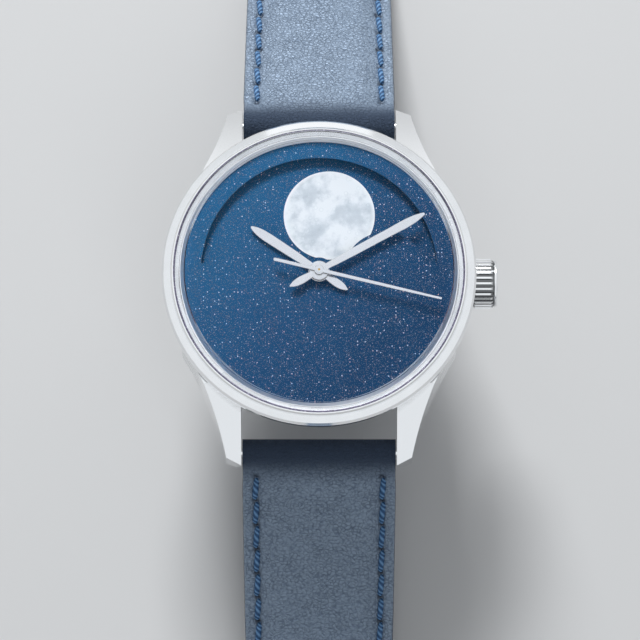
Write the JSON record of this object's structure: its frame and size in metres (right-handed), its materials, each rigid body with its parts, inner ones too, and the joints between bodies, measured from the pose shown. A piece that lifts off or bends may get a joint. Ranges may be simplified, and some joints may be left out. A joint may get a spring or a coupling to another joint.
{
  "type": "moon phase wristwatch",
  "caption": "Round steel wristwatch with a wide moon aperture, blue sparkling dial, three polished hands, ribbed crown and a blue leather strap, open.",
  "frame": {"origin": "centre of the flat outer face of the case back, on the case axis", "axes": "+X to 3 o'clock and the crown, +Y to 12 o'clock along the strap, +Z out through the crystal"},
  "size_m": [0.0439, 0.2371, 0.0314],
  "materials": {
    "steel_polished": "polished stainless steel",
    "steel_brushed": "fine brushed stainless steel",
    "hand_metal": "polished rhodium plate",
    "crystal_glass": "clear sapphire",
    "dial_glass": "deep blue sparkling glass",
    "moon_print": "soft white print",
    "brass": "fine gilt brass",
    "rhodium": "rhodium plated brass, striped",
    "blued_steel": "heat blued steel",
    "jewel": "clear red stone",
    "gasket": "matt rubber",
    "leather_blue": "navy leather with a fine grain",
    "lining": "smooth lining leather"
  },
  "bodies": {
    "case": {"case_middle": "steel_brushed", "crown_tube": "steel_polished", "bezel": "steel_polished", "crystal": "crystal_glass", "crystal_gasket": "gasket", "flange_ring": "steel_polished", "dial_plate": "brass", "dial": "dial_glass", "case_back": "steel_brushed", "case_back_crystal": "crystal_glass", "case_back_gasket": "gasket", "movement_ring": "rhodium", "spring_bars": "steel_polished", "mainplate": "rhodium", "moon_plate": "rhodium", "barrel_bridge": "rhodium", "train_bridge": "rhodium", "balance_cock": "rhodium", "jewels": "jewel", "movement_screws": "blued_steel", "hairspring": "blued_steel", "click_spring": "steel_polished"},
    "seconds": {"seconds_hand": "hand_metal", "seconds_wheel": "brass"},
    "minutes": {"minute_hand": "hand_metal", "cannon_pinion": "steel_polished"},
    "hours": {"hour_hand": "hand_metal", "hour_wheel": "brass"},
    "minute_wheel": {"minute_wheel": "brass"},
    "driving_pinion": {"driving_pinion": "steel_polished"},
    "moon": {"moon_disc": "dial_glass", "moon_disc_wheel": "brass", "moons": "moon_print"},
    "moon_wheel_first": {"moon_wheel_first": "brass"},
    "moon_wheel_second": {"moon_wheel_second": "brass"},
    "second_wheel": {"second_wheel": "brass"},
    "third_wheel": {"third_wheel": "brass"},
    "escape_wheel": {"escape_wheel": "steel_polished"},
    "pallet_fork": {"pallet_fork": "steel_polished"},
    "balance": {"balance_wheel": "brass"},
    "barrel": {"barrel_drum": "brass", "mainspring": "blued_steel"},
    "ratchet": {"ratchet_wheel": "steel_polished"},
    "crown_wheel": {"crown_wheel": "steel_polished"},
    "click": {"click": "steel_polished"},
    "winding_pinion": {"winding_pinion": "steel_polished"},
    "crown": {"crown": "steel_polished", "winding_stem": "steel_polished"},
    "sliding_pinion": {"sliding_pinion": "steel_polished"},
    "setting_lever": {"setting_lever": "steel_polished"},
    "strap_12": {"strap_12_leather": "leather_blue", "strap_12_lining": "lining", "fixed_keeper": "leather_blue"},
    "loose_keeper": {"loose_keeper": "leather_blue"},
    "buckle_frame": {"buckle_frame": "steel_polished"},
    "buckle_tongue": {"buckle_tongue": "steel_polished"},
    "strap_6": {"strap_6_leather": "leather_blue", "strap_6_lining": "lining"},
    "plunger_12": {"spring_bar_plunger_12": "steel_polished"},
    "plunger_6": {"spring_bar_plunger_6": "steel_polished"}
  },
  "joints": [
    {"name": "minute_turn", "type": "hinge", "parent": "case", "child": "minutes", "pos_m": [0, 0, 0.009], "axis": [0, 0, -1], "continuous": true},
    {"name": "hour_turn", "type": "hinge", "parent": "case", "child": "hours", "pos_m": [0, 0, 0.009], "axis": [0, 0, -1], "continuous": true},
    {"name": "minute_wheel_turn", "type": "hinge", "parent": "case", "child": "minute_wheel", "pos_m": [0.00182, 0.00313, 0.0069], "axis": [0, 0, -1], "continuous": true},
    {"name": "driving_pinion_turn", "type": "hinge", "parent": "case", "child": "driving_pinion", "pos_m": [-0.00139, 0.0048, 0.0069], "axis": [0, 0, -1], "continuous": true},
    {"name": "moon_wheel_first_turn", "type": "hinge", "parent": "case", "child": "moon_wheel_first", "pos_m": [0.00539, -0.00033, 0.0083], "axis": [0, 0, -1], "continuous": true},
    {"name": "moon_wheel_second_turn", "type": "hinge", "parent": "case", "child": "moon_wheel_second", "pos_m": [0.00315, -0.00413, 0.0087], "axis": [0, 0, -1], "continuous": true},
    {"name": "moon_disc_turn", "type": "hinge", "parent": "case", "child": "moon", "pos_m": [0, 0, 0.0095], "axis": [0, 0, -1], "continuous": true},
    {"name": "seconds_turn", "type": "hinge", "parent": "case", "child": "seconds", "pos_m": [0, 0, 0.006], "axis": [0, 0, -1], "continuous": true},
    {"name": "third_wheel_turn", "type": "hinge", "parent": "case", "child": "third_wheel", "pos_m": [-0.00348, 0.00163, 0.004], "axis": [0, 0, -1], "continuous": true},
    {"name": "second_wheel_turn", "type": "hinge", "parent": "case", "child": "second_wheel", "pos_m": [-0.00139, 0.0048, 0.0045], "axis": [0, 0, -1], "continuous": true},
    {"name": "barrel_turn", "type": "hinge", "parent": "case", "child": "barrel", "pos_m": [0.00385, 0.00724, 0.0042], "axis": [0, 0, -1], "continuous": true},
    {"name": "escape_wheel_turn", "type": "hinge", "parent": "case", "child": "escape_wheel", "pos_m": [-0.00219, -0.00219, 0.0048], "axis": [0, 0, -1], "continuous": true},
    {"name": "pallet_fork_swing", "type": "hinge", "parent": "case", "child": "pallet_fork", "pos_m": [-0.00403, -0.00403, 0.0048], "axis": [0, 0, 1], "range_deg": [-4, 4]},
    {"name": "balance_swing", "type": "hinge", "parent": "case", "child": "balance", "pos_m": [-0.00608, -0.00608, 0.0039], "axis": [0, 0, 1], "range_deg": [-270, 270], "stiffness_Nm_per_rad": 0.00000032},
    {"name": "crown_turn", "type": "hinge", "parent": "case", "child": "winding_pinion", "pos_m": [0, 0, 0.0044], "axis": [1, 0, 0], "continuous": true},
    {"name": "crown_wheel_turn", "type": "hinge", "parent": "case", "child": "crown_wheel", "pos_m": [0.00928, 0.00248, 0.0025], "axis": [0, 0, 1], "continuous": true},
    {"name": "ratchet_wheel_turn", "type": "hinge", "parent": "case", "child": "ratchet", "pos_m": [0.00385, 0.00724, 0.0025], "axis": [0, 0, 1], "continuous": true},
    {"name": "click_swing", "type": "hinge", "parent": "case", "child": "click", "pos_m": [0.00999, 0.0081, 0.0025], "axis": [0, 0, -1], "range_deg": [0, 15], "stiffness_Nm_per_rad": 0.00002},
    {"name": "crown_pull", "type": "slide", "parent": "winding_pinion", "child": "crown", "axis": [1, 0, 0], "range_m": [0, 0.0008]},
    {"name": "sliding_pinion_shift", "type": "slide", "parent": "winding_pinion", "child": "sliding_pinion", "axis": [1, 0, 0], "range_m": [-0.00064, 0]},
    {"name": "setting_lever_swing", "type": "hinge", "parent": "case", "child": "setting_lever", "pos_m": [0.0134, -0.0042, 0.0068], "axis": [0, 0, -1], "range_deg": [0, 12.4]},
    {"name": "strap_12_hinge", "type": "hinge", "parent": "case", "child": "strap_12", "pos_m": [0, 0.0222, 0.002], "axis": [1, 0, 0], "range_deg": [-40, 25]},
    {"name": "strap_6_hinge", "type": "hinge", "parent": "case", "child": "strap_6", "pos_m": [0, -0.0222, 0.002], "axis": [-1, 0, 0], "range_deg": [-40, 25]},
    {"name": "loose_keeper_slide", "type": "slide", "parent": "strap_12", "child": "loose_keeper", "axis": [0, 1, 0], "range_m": [-0.008, 0.008]},
    {"name": "buckle_hinge", "type": "hinge", "parent": "strap_12", "child": "buckle_frame", "pos_m": [0, 0.09365, -0.01559], "axis": [1, 0, 0], "range_deg": [-50, 30]},
    {"name": "tongue_hinge", "type": "hinge", "parent": "buckle_frame", "child": "buckle_tongue", "pos_m": [0, 0.09365, -0.01559], "axis": [1, 0, 0], "range_deg": [0, 95]},
    {"name": "plunger_12_press", "type": "slide", "parent": "case", "child": "plunger_12", "axis": [-1, 0, 0], "range_m": [0, 0.0012], "stiffness_N_per_m": 200},
    {"name": "plunger_6_press", "type": "slide", "parent": "case", "child": "plunger_6", "axis": [-1, 0, 0], "range_m": [0, 0.0012], "stiffness_N_per_m": 200}
  ],
  "couplings": [
    {"joint": "hour_turn", "follows": "minute_turn", "ratio": 0.083333},
    {"joint": "minute_wheel_turn", "follows": "minute_turn", "ratio": -0.33333},
    {"joint": "driving_pinion_turn", "follows": "minute_turn", "ratio": 1},
    {"joint": "moon_wheel_first_turn", "follows": "minute_turn", "ratio": 0.074074},
    {"joint": "moon_wheel_second_turn", "follows": "minute_turn", "ratio": -0.0074074},
    {"joint": "moon_disc_turn", "follows": "minute_turn", "ratio": 0.00070547},
    {"joint": "third_wheel_turn", "follows": "seconds_turn", "ratio": -0.13333},
    {"joint": "second_wheel_turn", "follows": "seconds_turn", "ratio": 0.016667},
    {"joint": "barrel_turn", "follows": "seconds_turn", "ratio": -0.0030864},
    {"joint": "escape_wheel_turn", "follows": "seconds_turn", "ratio": -10},
    {"joint": "crown_wheel_turn", "follows": "crown_turn", "ratio": 0.53571},
    {"joint": "ratchet_wheel_turn", "follows": "crown_turn", "ratio": -0.34091},
    {"joint": "sliding_pinion_shift", "follows": "crown_pull", "ratio": -0.8},
    {"joint": "setting_lever_swing", "follows": "crown_pull", "rad_per_m": 270.53}
  ]
}
